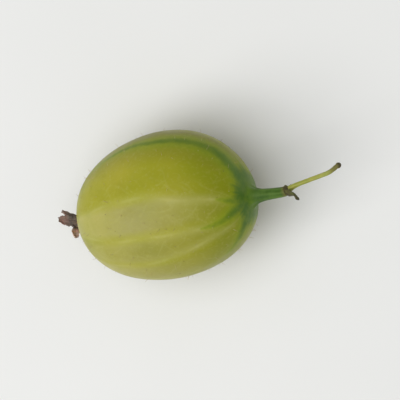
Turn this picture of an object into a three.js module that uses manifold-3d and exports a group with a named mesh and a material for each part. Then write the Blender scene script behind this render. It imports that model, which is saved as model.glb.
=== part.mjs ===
// A ripe green gooseberry as picked, lying on its side: the berry, the withered flower that stays on
// one end of it, and on the other end its green stalk (pedicel), two dry bracts at the stalk's joint
// and the thin older stalk (peduncle) beyond the joint.
//
// Millimetres, +Z up. The origin is on the small flat spot that the berry rests on.
// +X runs under the berry's axis towards the stalk, and the stalk end is the higher one.

import * as THREE from "three";
import { mergeVertices } from "three/addons/utils/BufferGeometryUtils.js";
import Module from "manifold-3d";

const { clamp, degToRad, lerp, smoothstep } = THREE.MathUtils;

// ---- Driving dimensions ---------------------------------------------------------------------

const BERRY_LENGTH = 30.5; // pole to pole, along the berry's axis
const BERRY_DIAMETER = 23.8; // at the widest, across the axis
const BERRY_TILT = degToRad(10); // the axis above the horizontal
const FLAT_DEPTH = 0.42; // how far the skin is pressed flat where the berry rests
const STALK_FULLNESS = 0.92; // 1 makes an ellipse of this half's outline, less makes it blunter
const FLOWER_FULLNESS = 0.88;
const STALK_SHOULDER = 0.04; // share by which the stalk half is wider than the flower half
const BOW = 0.5; // how far the middle of the berry stands off its axis, along Y
const SKEW = 0.65; // how strongly its two halves swing to opposite sides of the axis
const OVAL = 0.012; // share by which the cross-section is oval
const LOPSIDED = 0.007; // share by which the cross-section is three-cornered
const SEAT_RADIUS = 2.3; // flat seat on the stalk pole, where the pedicel's foot sits
const CROWN_RADIUS = 1.7; // flat seat on the flower pole, where the withered flower sits

const SEAM = 0.05; // gap between two pieces that grow on each other

const PEDICEL_LENGTH = 6.1;
const PEDICEL_RADIUS = 0.88;
const PEDICEL_FOOT_RADIUS = 2.1; // where the pedicel flares on to the berry
const PEDICEL_FLARE = 0.95; // length over which the flare dies away
const PEDICEL_JOINT_RADIUS = 0.8;
const NARROWING_FROM = 0.55; // share of the pedicel's length where it starts to narrow to the joint

const JOINT_THICKNESS = 0.6; // the brown disc that carries the bracts
const JOINT_RADIUS = 0.9;
const JOINT_ROUNDING = 0.12; // share by which the disc's rim is rounded off
const BRACT_THICKNESS = 0.6;
const BRACT_CUP = 0.3; // how far a bract's edges curl in at its root
const BRACT_WIDEST_AT = 0.25; // share of its length
const BRACT_TAPER = 1.1; // more makes its root and its tip narrower
const BRACT_ROOT_RADIUS = 0.85;

const PEDUNCLE_LENGTH = 9.6;
const PEDUNCLE_FOOT_RADIUS = 0.46;
const PEDUNCLE_RADIUS = 0.36;
const PEDUNCLE_FOOT_SHARE = 0.25; // share of its length over which the foot narrows
const KNOB_RADIUS = 0.43; // the dark knob where it broke off the branch
const KNOB_HALF_LENGTH = 0.5;
const KNOB_END_RADIUS = 0.2; // flat spot on the knob's end

const TUBE_LENGTH = 2.4; // the withered flower's tube, from the berry to its mouth
const TUBE_FOOT_RADIUS = 1.45;
const TUBE_WAIST_RADIUS = 0.92;
const TUBE_MOUTH_RADIUS = 1.08;
const TUBE_WALL = 0.6;
const TUBE_CUP_DEPTH = 1;
const TUBE_SHRIVEL = 0.09; // share by which the dry tube is fluted, once for each sepal

const SEPAL_THICKNESS = 0.6;
const SEPAL_CUP = 0.28; // how far a sepal's edges curl
const SEPAL_WIDEST_AT = 0.33; // share of its length
const SEPAL_TAPER = 1.75; // more makes its root and its tip narrower
const SEPAL_ROOT_DEPTH = 0.7; // how far inside the tube's mouth a sepal is rooted
const SEPAL_ROOT_RADIUS = 0.7;

const FLOWER_BEND_RADIUS = 10; // the whole flower bends aside, towards +Y
const STYLE_RADIUS = 0.32;
const STYLE_ROOT_DEPTH = 0.4; // how far a dried style is rooted below the cup's floor

// ---- How finely each piece is faceted -------------------------------------------------------

const BERRY_SIDES = 64;
const BERRY_RINGS = 38;
const STALK_POINTS = 40;
const PEDICEL_SIDES = 16;
const PEDICEL_STEPS = 20;
const JOINT_STEPS = 4;
const PEDUNCLE_SIDES = 12;
const PEDUNCLE_STEPS = 36;
const BLADE_STEPS = 8;
const BLADE_COLUMNS = 4;
const TUBE_SIDES = 20;
const STYLE_SIDES = 8;
const STYLE_STEPS = 6;

// ---- The berry's place ----------------------------------------------------------------------

const HALF_LENGTH = BERRY_LENGTH / 2;
const HALF_WIDTH = BERRY_DIAMETER / 2;

// Height of a tilted ellipsoid's middle above the surface it touches, and how far in front of its
// middle it touches that surface.
const tiltSin = Math.sin(BERRY_TILT);
const tiltCos = Math.cos(BERRY_TILT);
const middleHeight = Math.hypot(HALF_LENGTH * tiltSin, HALF_WIDTH * tiltCos);
const touchingPoint = ((HALF_WIDTH ** 2 - HALF_LENGTH ** 2) * tiltSin * tiltCos) / middleHeight;

const berryMiddle = new THREE.Vector3(-touchingPoint, 0, middleHeight - FLAT_DEPTH);
const berryAxis = new THREE.Vector3(tiltCos, 0, tiltSin);

// From the berry's own frame, axis along X, to the part's frame.
const berryPlace = new THREE.Matrix4().makeRotationY(-BERRY_TILT).setPosition(berryMiddle);

// ---- Solids ---------------------------------------------------------------------------------

const wasm = await Module();
wasm.setup();

function solidOf(geometry) {
  const bare = geometry.clone();
  bare.deleteAttribute("normal");
  bare.deleteAttribute("uv");
  const merged = mergeVertices(bare, 1e-4);
  return new wasm.Manifold(
    new wasm.Mesh({
      numProp: 3,
      vertProperties: merged.attributes.position.array,
      triVerts: new Uint32Array(merged.index.array),
    }),
  );
}

function geometryOf(solid) {
  const mesh = solid.getMesh();
  const geometry = new THREE.BufferGeometry();
  geometry.setAttribute("position", new THREE.BufferAttribute(new Float32Array(mesh.vertProperties), 3));
  geometry.setIndex(new THREE.BufferAttribute(mesh.triVerts, 1));
  geometry.computeVertexNormals();
  return geometry;
}

// Moves each vertex of a geometry to place(vertex), a new Vector3.
function reshape(geometry, place) {
  const positions = geometry.attributes.position;
  const vertex = new THREE.Vector3();
  for (let i = 0; i < positions.count; i++) {
    const moved = place(vertex.fromBufferAttribute(positions, i));
    positions.setXYZ(i, moved.x, moved.y, moved.z);
  }
  return geometry;
}

// A right-handed frame at share s of a curve: forward along it, and side and up across it.
function frameAt(curve, s) {
  const forward = curve.getTangentAt(s);
  const side = new THREE.Vector3(0, 0, 1).cross(forward).normalize();
  const up = forward.clone().cross(side);
  return { middle: curve.getPointAt(s), forward, side, up };
}

// A round rod with closed ends along a curve, with a radius that depends on the share s of its length.
function rodAlong(curve, radiusAt, sides, steps, shareAt = (s) => s) {
  const straight = new THREE.CylinderGeometry(1, 1, 1, sides, steps);
  return reshape(straight, ({ x, y, z }) => {
    const s = shareAt(clamp(y + 0.5, 0, 1));
    const { middle, side, up } = frameAt(curve, s);
    const radius = radiusAt(s);
    return middle.addScaledVector(side, x * radius).addScaledVector(up, -z * radius);
  });
}

const countTo = (count) => Array.from({ length: count }, (_, i) => i);

// A thin blade, bladeAt(s, across, face) giving the point at share s of its length, at across from -1
// to 1 over its width and on face 1 or -1. Both faces are split into triangles alike.
function bladeOf(bladeAt) {
  const corner = (face, [row, column]) => (face * (BLADE_STEPS + 1) + row) * (BLADE_COLUMNS + 1) + column;
  const points = [];
  for (const face of [-1, 1])
    for (let row = 0; row <= BLADE_STEPS; row++)
      for (let column = 0; column <= BLADE_COLUMNS; column++)
        points.push(...bladeAt(row / BLADE_STEPS, (2 * column) / BLADE_COLUMNS - 1, face).toArray());

  const index = [];
  for (let row = 0; row < BLADE_STEPS; row++)
    for (let column = 0; column < BLADE_COLUMNS; column++) {
      const cell = [[row, column], [row, column + 1], [row + 1, column + 1], [row + 1, column]];
      const [a, b, c, d] = cell.map((place) => corner(1, place));
      index.push(a, b, c, a, c, d);
      const [e, f, g, h] = cell.map((place) => corner(0, place));
      index.push(e, g, f, e, h, g);
    }

  // The rim walks once round the blade's edge and joins the two faces.
  const rim = [
    ...countTo(BLADE_STEPS).map((row) => [row, 0]),
    ...countTo(BLADE_COLUMNS).map((column) => [BLADE_STEPS, column]),
    ...countTo(BLADE_STEPS).map((row) => [BLADE_STEPS - row, BLADE_COLUMNS]),
    ...countTo(BLADE_COLUMNS).map((column) => [0, BLADE_COLUMNS - column]),
  ];
  rim.forEach((here, i) => {
    const next = rim[(i + 1) % rim.length];
    const [a, b, c, d] = [corner(0, here), corner(1, here), corner(1, next), corner(0, next)];
    index.push(a, b, c, a, c, d);
  });

  const geometry = new THREE.BufferGeometry();
  geometry.setAttribute("position", new THREE.BufferAttribute(new Float32Array(points), 3));
  geometry.setIndex(index);
  return geometry;
}

// Half the width of a blade at share s of its length: widest at one share and tapering both ways.
function bladeWidth(halfWidth, s, widestAt, taper) {
  return halfWidth * Math.cos((s - widestAt) * taper);
}

// ---- The berry ------------------------------------------------------------------------------

// The outline's radius at share of the half length, from -1 at the flower pole to 1 at the stalk pole.
function outlineRadius(share) {
  const round = Math.sqrt(Math.max(0, 1 - share * share));
  const across = round ** (share > 0 ? STALK_FULLNESS : FLOWER_FULLNESS);
  return HALF_WIDTH * across * (1 + STALK_SHOULDER * share * round);
}

// The share of the half length, near the pole on the given side, where the outline has this radius.
function shareWithRadius(radius, side) {
  const halvings = 40;
  let inner = 0;
  let outer = 1;
  for (let i = 0; i < halvings; i++) {
    const middle = (inner + outer) / 2;
    if (outlineRadius(side * middle) > radius) inner = middle;
    else outer = middle;
  }
  return side * inner;
}

// How far the skin stands out at this angle round the axis, as a share of the outline's radius.
function lobes(angle) {
  return 1 + OVAL * Math.cos(2 * angle + 0.5) + LOPSIDED * Math.cos(3 * angle - 1.1);
}

// How far the middle of the cross-section at this share stands off the axis, along Y.
function sway(share) {
  return (BOW + SKEW * share) * (1 - share * share);
}

const crownShare = shareWithRadius(CROWN_RADIUS, -1);
const seatShare = shareWithRadius(SEAT_RADIUS, 1);

function makeBerry() {
  const from = Math.acos(-crownShare);
  const to = Math.acos(-seatShare);
  const profile = [new THREE.Vector2(0, crownShare * HALF_LENGTH)];
  for (let ring = 0; ring <= BERRY_RINGS; ring++) {
    const share = -Math.cos(lerp(from, to, ring / BERRY_RINGS));
    profile.push(new THREE.Vector2(outlineRadius(share), share * HALF_LENGTH));
  }
  profile.push(new THREE.Vector2(0, seatShare * HALF_LENGTH));

  const turned = new THREE.LatheGeometry(profile, BERRY_SIDES);
  turned.rotateZ(-Math.PI / 2); // the lathe's own axis is Y, the berry's is X
  reshape(turned, ({ x, y, z }) => {
    const share = x / HALF_LENGTH;
    const round = Math.sqrt(Math.max(0, 1 - share * share));
    const stretch = lerp(1, lobes(Math.atan2(z, y)), round);
    return new THREE.Vector3(x, y * stretch + sway(share), z * stretch);
  });
  turned.applyMatrix4(berryPlace);

  const below = new THREE.BoxGeometry(BERRY_LENGTH, BERRY_DIAMETER, BERRY_DIAMETER);
  below.translate(0, 0, -BERRY_DIAMETER / 2);
  return geometryOf(solidOf(turned).subtract(solidOf(below)));
}

// ---- The stalk ------------------------------------------------------------------------------

const seatMiddle = berryMiddle.clone().addScaledVector(berryAxis, seatShare * HALF_LENGTH);

// The whole stalk follows one curve: straight out of the berry, then bending sideways and levelling
// off. Turns are about Z and rises about the horizontal, both in degrees, at shares of its length.
const stalkLength = PEDICEL_LENGTH + JOINT_THICKNESS + PEDUNCLE_LENGTH + 3 * SEAM;
const stalkBends = [
  { share: 0, turn: 0, rise: 10 },
  { share: 0.3, turn: -1, rise: 11 },
  { share: 0.42, turn: 23, rise: 9 },
  { share: 0.56, turn: 12, rise: 4 },
  { share: 0.8, turn: 10.5, rise: -2.5 },
  { share: 0.9, turn: 28, rise: 0 },
  { share: 1, turn: 31, rise: 1.5 },
];

function bendAt(share, key) {
  const after = Math.max(1, stalkBends.findIndex((bend) => bend.share >= share));
  const [a, b] = [stalkBends[after - 1], stalkBends[after]];
  return degToRad(lerp(a[key], b[key], smoothstep(share, a.share, b.share)));
}

function stalkCurve() {
  const point = seatMiddle.clone();
  const points = [point.clone()];
  for (let i = 0; i < STALK_POINTS; i++) {
    const share = (i + 0.5) / STALK_POINTS;
    const turn = bendAt(share, "turn");
    const rise = bendAt(share, "rise");
    const heading = new THREE.Vector3(
      Math.cos(rise) * Math.cos(turn),
      Math.cos(rise) * Math.sin(turn),
      Math.sin(rise),
    );
    points.push(point.addScaledVector(heading, stalkLength / STALK_POINTS).clone());
  }
  return new THREE.CatmullRomCurve3(points);
}

const stalk = stalkCurve();

// The stretch of the stalk from one length to another, as a curve of its own.
class Stretch extends THREE.Curve {
  constructor(from, to) {
    super();
    this.from = from / stalkLength;
    this.to = to / stalkLength;
  }
  getPoint(s, target = new THREE.Vector3()) {
    return stalk.getPointAt(lerp(this.from, this.to, s), target);
  }
}

const pedicelStretch = new Stretch(SEAM, SEAM + PEDICEL_LENGTH);
const jointStart = SEAM + PEDICEL_LENGTH + SEAM;
const jointStretch = new Stretch(jointStart, jointStart + JOINT_THICKNESS);
const peduncleStart = jointStart + JOINT_THICKNESS + SEAM;
const peduncleStretch = new Stretch(peduncleStart, stalkLength);

function makePedicel() {
  const radiusAt = (s) => {
    const flare = (PEDICEL_FOOT_RADIUS - PEDICEL_RADIUS) * Math.exp((-s * PEDICEL_LENGTH) / PEDICEL_FLARE);
    const narrowing = (PEDICEL_RADIUS - PEDICEL_JOINT_RADIUS) * smoothstep(s, NARROWING_FROM, 1);
    return PEDICEL_RADIUS + flare - narrowing;
  };
  const closerAtTheFoot = (s) => s ** 1.6;
  const rod = rodAlong(pedicelStretch, radiusAt, PEDICEL_SIDES, PEDICEL_STEPS, closerAtTheFoot);
  return geometryOf(solidOf(rod));
}

function makePeduncle() {
  const radiusAt = (s) => {
    const foot = (PEDUNCLE_FOOT_RADIUS - PEDUNCLE_RADIUS) * (1 - smoothstep(s, 0, PEDUNCLE_FOOT_SHARE));
    const fromKnobMiddle = ((1 - s) * PEDUNCLE_LENGTH) / KNOB_HALF_LENGTH - 1;
    const knob = KNOB_RADIUS * Math.sqrt(Math.max(0, 1 - fromKnobMiddle ** 2));
    const shaft = fromKnobMiddle > 0 ? PEDUNCLE_RADIUS + foot : KNOB_END_RADIUS;
    return Math.max(shaft, knob);
  };
  return geometryOf(solidOf(rodAlong(peduncleStretch, radiusAt, PEDUNCLE_SIDES, PEDUNCLE_STEPS)));
}

// ---- The bracts -----------------------------------------------------------------------------

// Each bract is a curved scale on the joint's rim: at an angle round the stalk (0 is towards -Y, 90
// is up), with its length, half width and how far it leans out from the stalk, in degrees.
const bracts = [
  { angle: 45, length: 2.6, halfWidth: 0.88, lean: 35 },
  { angle: 265, length: 1.1, halfWidth: 0.45, lean: 10 },
];

function bractBlade({ angle, length, halfWidth, lean }) {
  const around = degToRad(angle);
  const { middle, forward, side, up } = frameAt(jointStretch, 0.5);
  const outward = side.clone().multiplyScalar(-Math.cos(around)).addScaledVector(up, Math.sin(around));
  const sideways = forward.clone().cross(outward);
  return bladeOf((s, across, face) => {
    const leaning = degToRad(lean * (0.5 + s));
    const curl = BRACT_CUP * across * across * (1 - s);
    const inside = BRACT_ROOT_RADIUS - curl + (face * BRACT_THICKNESS) / 2;
    return middle
      .clone()
      .addScaledVector(forward, s * length * Math.cos(leaning))
      .addScaledVector(outward, inside + s * length * Math.sin(leaning))
      .addScaledVector(sideways, across * bladeWidth(halfWidth, s, BRACT_WIDEST_AT, BRACT_TAPER));
  });
}

function makeBracts() {
  const roundedRim = (s) => JOINT_RADIUS * (1 - JOINT_ROUNDING * (2 * s - 1) ** 2);
  const joint = solidOf(rodAlong(jointStretch, roundedRim, PEDICEL_SIDES, JOINT_STEPS));
  return geometryOf(bracts.reduce((made, bract) => made.add(solidOf(bractBlade(bract))), joint));
}

// ---- The withered flower --------------------------------------------------------------------

// The flower's own frame: X along its axis away from the berry, Y towards the part's -Y, and Z up.
const flowerPlace = new THREE.Matrix4()
  .makeBasis(
    berryAxis.clone().negate(),
    new THREE.Vector3(0, -1, 0),
    new THREE.Vector3(-tiltSin, 0, tiltCos),
  )
  .setPosition(berryMiddle.clone().addScaledVector(berryAxis, crownShare * HALF_LENGTH - SEAM));

// Sepals at angles round the flower's axis (0 is towards the part's -Y, 90 is up), each with its
// length and half width, how far from the axis it leans at its root and at its tip, and its twist.
const sepals = [
  { angle: 6, length: 2.35, halfWidth: 0.95, from: 52, to: 108, twist: -20 },
  { angle: 96, length: 2.45, halfWidth: 0.9, from: 2, to: 16, twist: 15 },
  { angle: 152, length: 2.1, halfWidth: 0.5, from: 4, to: 36, twist: -25 },
  { angle: 218, length: 1.9, halfWidth: 0.6, from: 0, to: 14, twist: 20 },
  { angle: 306, length: 1.8, halfWidth: 0.6, from: 2, to: 14, twist: -30 },
];

// Dried styles and stamens standing in the mouth: angle round the axis, distance from it, length
// and lean.
const styles = [
  { angle: 40, off: 0.18, length: 2.5, lean: 12 },
  { angle: 165, off: 0.3, length: 2.2, lean: 24 },
  { angle: 285, off: 0.3, length: 1.8, lean: 30 },
];

function flowerTube() {
  const profile = [
    [0, 0],
    [TUBE_FOOT_RADIUS, 0],
    [TUBE_FOOT_RADIUS * 0.9, TUBE_LENGTH * 0.11],
    [TUBE_WAIST_RADIUS, TUBE_LENGTH * 0.41],
    [TUBE_WAIST_RADIUS * 1.08, TUBE_LENGTH * 0.67],
    [TUBE_MOUTH_RADIUS, TUBE_LENGTH],
    [TUBE_MOUTH_RADIUS - TUBE_WALL, TUBE_LENGTH],
    [TUBE_WAIST_RADIUS * 0.55, TUBE_LENGTH - TUBE_CUP_DEPTH],
    [0, TUBE_LENGTH - TUBE_CUP_DEPTH],
  ].map(([radius, along]) => new THREE.Vector2(radius, along));
  const tube = new THREE.LatheGeometry(profile, TUBE_SIDES).rotateZ(-Math.PI / 2);
  return reshape(tube, ({ x, y, z }) => {
    const flutes = Math.cos(sepals.length * Math.atan2(z, y) + 0.8);
    const shrivelled = 1 + TUBE_SHRIVEL * flutes * Math.min(1, x / TUBE_LENGTH);
    return new THREE.Vector3(x, y * shrivelled, z * shrivelled);
  });
}

// Along a sepal its lean grows evenly, so its middle line is an arc of a circle.
function sepalBlade({ angle, length, halfWidth, from, to, twist }) {
  const around = degToRad(angle);
  const forward = new THREE.Vector3(1, 0, 0);
  const outward = new THREE.Vector3(0, Math.cos(around), Math.sin(around));
  const sideways = forward.clone().cross(outward);
  const root = degToRad(from);
  const curl = degToRad(to - from);
  return bladeOf((s, across, face) => {
    const lean = root + curl * s;
    const along = TUBE_LENGTH - SEPAL_ROOT_DEPTH + (length * (Math.sin(lean) - Math.sin(root))) / curl;
    const out = SEPAL_ROOT_RADIUS + (length * (Math.cos(root) - Math.cos(lean))) / curl;
    const turned = degToRad(twist) * s;
    const wide = across * bladeWidth(halfWidth, s, SEPAL_WIDEST_AT, SEPAL_TAPER);
    const thick = (face * SEPAL_THICKNESS) / 2 + SEPAL_CUP * across * across;
    const over = wide * Math.sin(turned) + thick * Math.cos(turned);
    return new THREE.Vector3()
      .addScaledVector(forward, along - over * Math.sin(lean))
      .addScaledVector(outward, out + over * Math.cos(lean))
      .addScaledVector(sideways, wide * Math.cos(turned) - thick * Math.sin(turned));
  });
}

function styleRod({ angle, off, length, lean }) {
  const around = degToRad(angle);
  const leaning = degToRad(lean);
  const forward = new THREE.Vector3(1, 0, 0);
  const outward = new THREE.Vector3(0, Math.cos(around), Math.sin(around));
  const foot = outward.clone().multiplyScalar(off);
  foot.addScaledVector(forward, TUBE_LENGTH - TUBE_CUP_DEPTH - STYLE_ROOT_DEPTH);
  const bend = foot.clone().addScaledVector(forward, length * 0.6);
  const tip = foot
    .clone()
    .addScaledVector(forward, length * Math.cos(leaning))
    .addScaledVector(outward, length * Math.sin(leaning));
  const taper = (s) => STYLE_RADIUS * (1.05 - 0.15 * s);
  return rodAlong(new THREE.QuadraticBezierCurve3(foot, bend, tip), taper, STYLE_SIDES, STYLE_STEPS);
}

function makeWitheredFlower() {
  const pieces = [...sepals.map(sepalBlade), ...styles.map(styleRod)];
  const flower = pieces.reduce((made, piece) => made.add(solidOf(piece)), solidOf(flowerTube()));
  const bent = reshape(geometryOf(flower), ({ x, y, z }) => {
    return new THREE.Vector3(x, y - x ** 2 / (2 * FLOWER_BEND_RADIUS), z);
  });
  return bent.applyMatrix4(flowerPlace);
}

// ---- The gooseberry -------------------------------------------------------------------------

function meshOf(name, geometry, color, roughness) {
  const mesh = new THREE.Mesh(geometry, new THREE.MeshStandardMaterial({ color, roughness, metalness: 0 }));
  mesh.name = name;
  return mesh;
}

const gooseberry = new THREE.Group();
gooseberry.name = "gooseberry";
gooseberry.add(
  meshOf("berry", makeBerry(), 0x9c9a40, 0.35),
  meshOf("pedicel", makePedicel(), 0x567238, 0.55),
  meshOf("bracts", makeBracts(), 0x54432c, 0.85),
  meshOf("peduncle", makePeduncle(), 0x9c9f58, 0.6),
  meshOf("withered_flower", makeWitheredFlower(), 0x5b4638, 0.9),
);

export default gooseberry;
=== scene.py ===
# The looks of a ripe green gooseberry that lies on its side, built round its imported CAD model.
#
# Shapes are worked out in millimetres in the part's own frame: +Z up, +X under the berry's axis
# towards the stalk, origin on the flat spot it rests on. They become metres as each mesh is made.

import math
import random

import bpy
import numpy as np
from mathutils import Matrix, Vector, noise


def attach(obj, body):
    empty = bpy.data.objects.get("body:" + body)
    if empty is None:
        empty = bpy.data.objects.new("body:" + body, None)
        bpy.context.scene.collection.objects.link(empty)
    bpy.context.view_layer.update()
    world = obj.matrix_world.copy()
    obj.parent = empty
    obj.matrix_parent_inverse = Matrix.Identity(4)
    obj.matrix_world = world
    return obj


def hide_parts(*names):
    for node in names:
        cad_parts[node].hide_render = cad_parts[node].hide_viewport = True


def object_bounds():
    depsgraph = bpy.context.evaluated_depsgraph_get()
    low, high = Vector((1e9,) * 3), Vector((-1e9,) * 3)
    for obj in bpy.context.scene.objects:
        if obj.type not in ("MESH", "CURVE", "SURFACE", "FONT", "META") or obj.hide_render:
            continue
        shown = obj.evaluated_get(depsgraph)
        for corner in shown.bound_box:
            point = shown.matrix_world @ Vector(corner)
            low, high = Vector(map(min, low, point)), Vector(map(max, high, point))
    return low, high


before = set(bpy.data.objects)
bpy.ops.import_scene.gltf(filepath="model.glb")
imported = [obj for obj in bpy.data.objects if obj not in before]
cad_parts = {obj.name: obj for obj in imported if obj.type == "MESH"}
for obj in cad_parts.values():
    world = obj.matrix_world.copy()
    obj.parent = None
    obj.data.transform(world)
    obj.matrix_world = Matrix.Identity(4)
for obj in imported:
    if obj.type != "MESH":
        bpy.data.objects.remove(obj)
cad_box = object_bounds()

MM = 0.001
SEED = 7

# ---- Sizes that the part's own source states too ----

BERRY_LENGTH = 30.5
BERRY_DIAMETER = 23.8
BERRY_TILT = math.radians(10)
FLAT_DEPTH = 0.42
STALK_FULLNESS = 0.92
FLOWER_FULLNESS = 0.88
STALK_SHOULDER = 0.04
BOW = 0.5
SKEW = 0.65
OVAL = 0.012
LOPSIDED = 0.007
SEAT_RADIUS = 2.3
CROWN_RADIUS = 1.7
SEAM = 0.05

PEDICEL_LENGTH = 6.1
PEDICEL_RADIUS = 0.88
PEDICEL_FOOT_RADIUS = 2.1
PEDICEL_FLARE = 0.95
PEDICEL_JOINT_RADIUS = 0.8
NARROWING_FROM = 0.55

JOINT_THICKNESS = 0.6
JOINT_RADIUS = 0.9
BRACT_ROOT_RADIUS = 0.85
BRACT_CUP = 0.3
BRACT_WIDEST_AT = 0.25
BRACT_TAPER = 1.1

PEDUNCLE_LENGTH = 9.6
PEDUNCLE_FOOT_RADIUS = 0.46
PEDUNCLE_RADIUS = 0.36
PEDUNCLE_FOOT_SHARE = 0.25
KNOB_RADIUS = 0.43
KNOB_HALF_LENGTH = 0.5

TUBE_LENGTH = 2.4
TUBE_FOOT_RADIUS = 1.45
TUBE_WAIST_RADIUS = 0.92
TUBE_MOUTH_RADIUS = 1.08
TUBE_CUP_DEPTH = 1.0
TUBE_SHRIVEL = 0.09
SEPAL_ROOT_DEPTH = 0.7
SEPAL_ROOT_RADIUS = 0.7
SEPAL_CUP = 0.28
SEPAL_WIDEST_AT = 0.33
SEPAL_TAPER = 1.75
FLOWER_BEND_RADIUS = 10.0

STALK_BENDS = [  # share of the stalk's length, turn about Z and rise, in degrees
    (0.0, 0, 10),
    (0.3, -1, 11),
    (0.42, 23, 9),
    (0.56, 12, 4),
    (0.8, 10.5, -2.5),
    (0.9, 28, 0),
    (1.0, 31, 1.5),
]
BRACTS = [  # angle round the stalk (0 towards -Y, 90 up), length, half width, lean
    (45, 2.6, 0.88, 35),
    (265, 1.1, 0.45, 10),
]
SEPALS = [  # angle round the flower's axis, length, half width, lean at root and tip, twist
    (6, 2.35, 0.95, 52, 108, -20),
    (96, 2.45, 0.9, 2, 16, 15),
    (152, 2.1, 0.5, 4, 36, -25),
    (218, 1.9, 0.6, 0, 14, 20),
    (306, 1.8, 0.6, 2, 14, -30),
]
STYLES = [  # angle round the flower's axis, distance from it, length, lean
    (40, 0.18, 2.5, 12),
    (165, 0.3, 2.2, 24),
    (285, 0.3, 1.8, 30),
]

# ---- Detail that only the looks have ----

BERRY_ROWS = 236
BERRY_COLUMNS = 400

# Main veins: angles from the top towards +Y at the VEIN_KNOTS, in degrees, then the length, breadth
# and darkness of the green spike that follows the vein from the stalk, and the pale vein's plainness.
VEIN_KNOTS = (0.0, 0.22, 0.5, 1.0)  # shares of the way from the stalk's pole to the flower's
MAIN_VEINS = [
    ((-10, 3, 12, 4), 8.5, 1.4, 1.0, 1.0),
    ((48, 69, 62, 62), 36.0, 2.1, 1.0, 0.2),
    ((88, 97, 99, 97), 8.0, 1.0, 0.8, 0.8),
    ((122, 129, 125, 120), 6.0, 1.0, 0.8, 0.8),
    ((156, 160, 163, 166), 9.0, 1.1, 0.9, 0.9),
    ((194, 196, 190, 188), 6.0, 1.0, 0.8, 0.8),
    ((224, 224, 229, 232), 10.0, 1.2, 0.9, 0.8),
    ((262, 260, 256, 253), 7.0, 1.0, 0.8, 0.9),
    ((310, 287, 288, 289), 11.0, 2.2, 1.0, 0.6),
    ((326, 322, 315, 312), 3.5, 0.7, 0.8, 0.9),
    ((348, 334, 340, 343), 12.0, 1.7, 1.0, 1.0),
]
# Milkiness of the skin between each main vein and the next one in the list, and its darkening there, which
# is partly duller skin and partly painted shade.
PANEL_HAZE = [0.12, 0.3, 0.55, 0.25, 0.6, 0.35, 0.5, 0.35, 0.6, 0.65, 0.9]
PANEL_DULLNESS_AND_SHADE = [0.0, 0.85, 0.25, 0.35, 0.17, 0.3, 0.17, 0.1, 0.15, 0.27, 0.15]

PALE_LINE_WIDTH = 0.22  # of a pale vein at the poles; it is twice as broad mid-length
GLOW_WIDTH = 0.55  # of the fainter glow round it at the poles
GLOW_GAIN = 0.5  # and how much broader it is mid-length
SIDE_VEIN_WIDTH = 0.2
SIDE_VEIN_STRENGTH = 0.36
SIDE_VEIN_PACE = 0.4  # length of each step of its wandering way

# Distances from the stalk's pole over which the green round it fades out, and distances from the
# flower's pole for the brown there.
STAR_EDGE = (2.7, 6.7)
CROWN_EDGE = (1.5, 2.6)

FLAT_EDGE = 0.15  # how softly the skin turns into the flat spot that it rests on
LEAN_OF_NORMALS = 0.35  # a normal starts at this share of its point's way along the axis
SWELL_SPACING = 7.0  # low swells all over the skin
SWELL_HEIGHT = 0.06
VEIN_HEIGHT = 0.03
SPIKE_HEIGHT = 0.08
SPIKE_RIDGE_AT = 5.5  # the green spikes stand up most at this distance from the stalk's pole
SPIKE_RIDGE_REACH = 2.5

BRISTLES = 170
BRISTLE_SHARES = (-0.93, 0.9)  # how near the two poles they grow, as shares of the half length
BRISTLE_LENGTHS = (0.35, 0.95)
BRISTLE_RADIUS = 0.035
BRISTLE_TIP_RADIUS = 0.004
BRISTLE_SINK = 0.08
BRISTLE_CLEARANCE = 0.6  # least height of a tip above the floor

FOOT_REACH = 3.3  # radius at which the pedicel's foot dips under the berry's skin
FOOT_TOP_RADIUS = 1.12  # and the one at which it has become the plain pedicel
FOOT_BLEND = 0.13  # how softly the foot's sweep meets the skin
FOOT_SINK = 0.05  # how far its edge dips under the skin
FOOT_SINK_WIDTH = 0.9

PEDICEL_RIBS = (7, 0.3)  # how many, and their twist in radians for each millimetre along the stalk
PEDICEL_RIB_HEIGHT = 0.035
PEDUNCLE_RIBS = (5, 0.6)
PEDUNCLE_RIB_SHARE = 0.05  # of its radius
PEDUNCLE_SINK = 0.25  # how far its foot goes into the joint
JOINT_SINK = 0.1  # how far the joint's disc goes into the stalks on both sides
JOINT_EDGE_SHARE = 0.22  # share by which the disc is narrower at its two faces
BRACT_THICKNESS = 0.55
SEPAL_THICKNESS = 0.26
LIT_ROSY_SEPAL = 0  # number of the one sepal whose inner face is rosy and painted much paler, as painted light against the shade it lies in
STAMENS = 5


# ---- Small helpers ----


def smoothstep(value, low, high):
    share = np.clip((value - low) / (high - low), 0, 1)
    return share * share * (3 - 2 * share)


def eased(value, knots, angles):
    """The angle that goes with a value, easing from each knot's angle to the next one's."""
    angle = angles[0]
    for low, high, here, after in zip(knots, knots[1:], angles, angles[1:]):
        angle = angle + (after - here) * smoothstep(value, low, high)
    return angle


def unit(vectors):
    return vectors / np.linalg.norm(vectors, axis=-1, keepdims=True)


def wrapped(angle):
    """The same angle between -pi and pi."""
    return (angle + math.pi) % math.tau - math.pi


def round_angles(sides):
    """Even angles once round."""
    return np.linspace(0, math.tau, sides, endpoint=False)


def directions(angles, side, up):
    """Directions at these angles from side towards up."""
    return np.cos(angles)[..., None] * side + np.sin(angles)[..., None] * up


def noise_at(points, size, seed=0):
    """Smooth noise between about -1 and 1 at each point, with lumps of this size in millimetres."""
    shift = Vector((seed * 17.3, seed * 5.1, seed * 11.7))
    flat = np.reshape(points, (-1, 3)) / size
    values = [noise.noise(Vector(point) + shift) for point in flat.tolist()]
    return np.reshape(values, np.shape(points)[:-1])


def roughened(rings, size, seed, depth):
    """Rings moved out and in by noise with lumps of this size, by up to about this depth."""
    outward = unit(rings - rings.mean(1, keepdims=True))
    return rings + outward * (noise_at(rings, size, seed) * depth)[..., None]


def add_object(name, data):
    made = bpy.data.objects.new(name, data)
    bpy.context.scene.collection.objects.link(made)
    return made


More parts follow.
